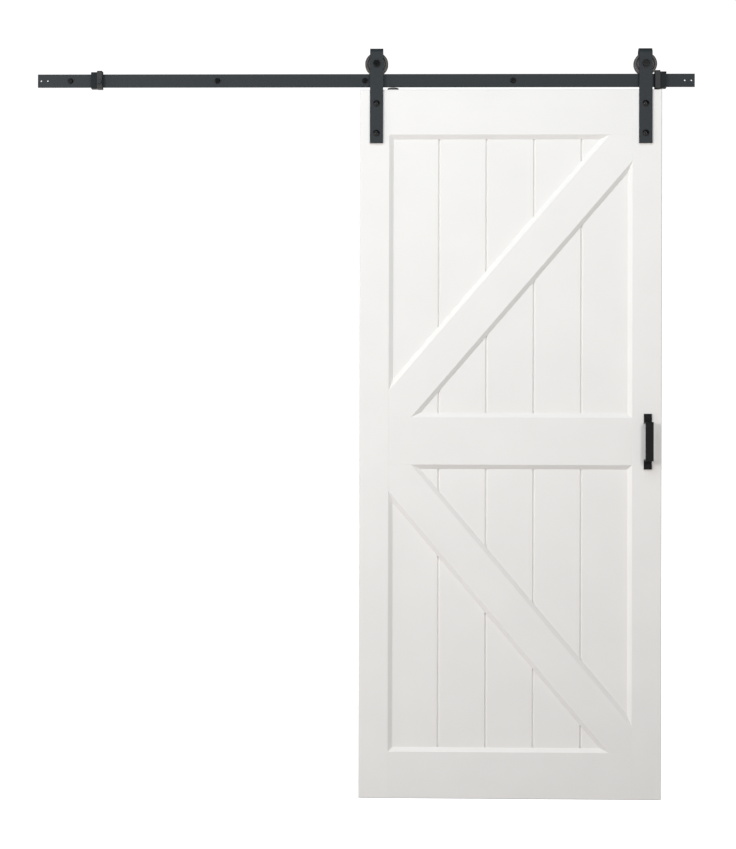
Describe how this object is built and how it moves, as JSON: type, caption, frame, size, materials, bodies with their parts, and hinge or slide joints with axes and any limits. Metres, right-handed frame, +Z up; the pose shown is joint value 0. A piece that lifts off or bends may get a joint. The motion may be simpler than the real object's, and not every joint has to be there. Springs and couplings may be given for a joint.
{
  "type": "sliding barn door",
  "caption": "Sliding barn door: white plank leaf with K-braces and a bar pull, hung by strap hangers with grooved wheels from a flat steel wall rail with end stops.",
  "frame": {"origin": "middle of the row of wall screws, on the wall plane, at mid-height of the rail", "axes": "+X along the rail to the right seen from the room, +Y into the wall, +Z up"},
  "size_m": [2, 0.142, 2.2765],
  "materials": {
    "painted_leaf": "white satin paint",
    "bare_wood": "bare beech",
    "powder_coated_steel": "fine-textured charcoal powder coat",
    "black_fasteners": "glossy black oxide",
    "rubber_buffer": "matt",
    "wheel_plastic": "semi-matt nylon",
    "handle_steel": "black powder coat",
    "bright_steel": "zinc plated and ground",
    "bearing_seal": "matt",
    "disc_plastic": "matt nylon"
  },
  "bodies": {
    "track": {"rail": "powder_coated_steel", "wall_spacers": "powder_coated_steel", "wall_washers": "black_fasteners", "wall_screws": "black_fasteners", "left_stop_block": "powder_coated_steel", "left_stop_buffer": "rubber_buffer", "right_stop_block": "powder_coated_steel", "right_stop_buffer": "rubber_buffer", "left_buffer_screw": "powder_coated_steel", "buffer_pins": "bright_steel", "stop_grub_screws": "black_fasteners"},
    "door": {"left_stile": "painted_leaf", "right_stile": "painted_leaf", "top_rail": "painted_leaf", "mid_rail": "painted_leaf", "bottom_rail": "painted_leaf", "upper_brace": "painted_leaf", "lower_brace": "painted_leaf", "upper_plank_1": "painted_leaf", "upper_plank_2": "painted_leaf", "upper_plank_3": "painted_leaf", "upper_plank_4": "painted_leaf", "upper_plank_5": "painted_leaf", "lower_plank_1": "painted_leaf", "lower_plank_2": "painted_leaf", "lower_plank_3": "painted_leaf", "lower_plank_4": "painted_leaf", "lower_plank_5": "painted_leaf", "frame_dowels": "bare_wood", "left_strap": "powder_coated_steel", "right_strap": "powder_coated_steel", "axle_bolts": "black_fasteners", "axle_nuts": "black_fasteners", "strap_bolts": "black_fasteners", "strap_nuts": "black_fasteners", "strap_washers": "black_fasteners", "handle_screws": "black_fasteners", "pull_handle": "handle_steel", "axle_sleeves": "bright_steel", "left_bearing_inner_ring": "bright_steel", "right_bearing_inner_ring": "bright_steel", "disc_screws": "bright_steel", "anti_jump_discs": "disc_plastic"},
    "left_roller": {"left_wheel": "wheel_plastic", "left_bearing_outer_ring": "bright_steel", "left_bearing_balls": "bright_steel", "left_bearing_shields": "bearing_seal"},
    "right_roller": {"right_wheel": "wheel_plastic", "right_bearing_outer_ring": "bright_steel", "right_bearing_balls": "bright_steel", "right_bearing_shields": "bearing_seal"}
  },
  "joints": [
    {"name": "door_slide", "type": "slide", "parent": "track", "child": "door", "axis": [1, 0, 0], "range_m": [-0.8083, 0]},
    {"name": "left_wheel_spin", "type": "hinge", "parent": "door", "child": "left_roller", "pos_m": [0.03543, -0.038, 0.0493], "axis": [0, 1, 0], "continuous": true},
    {"name": "right_wheel_spin", "type": "hinge", "parent": "door", "child": "right_roller", "pos_m": [0.85043, -0.038, 0.0493], "axis": [0, 1, 0], "continuous": true}
  ],
  "couplings": [
    {"joint": "left_wheel_spin", "follows": "door_slide", "rad_per_m": 34.483},
    {"joint": "right_wheel_spin", "follows": "door_slide", "rad_per_m": 34.483}
  ]
}
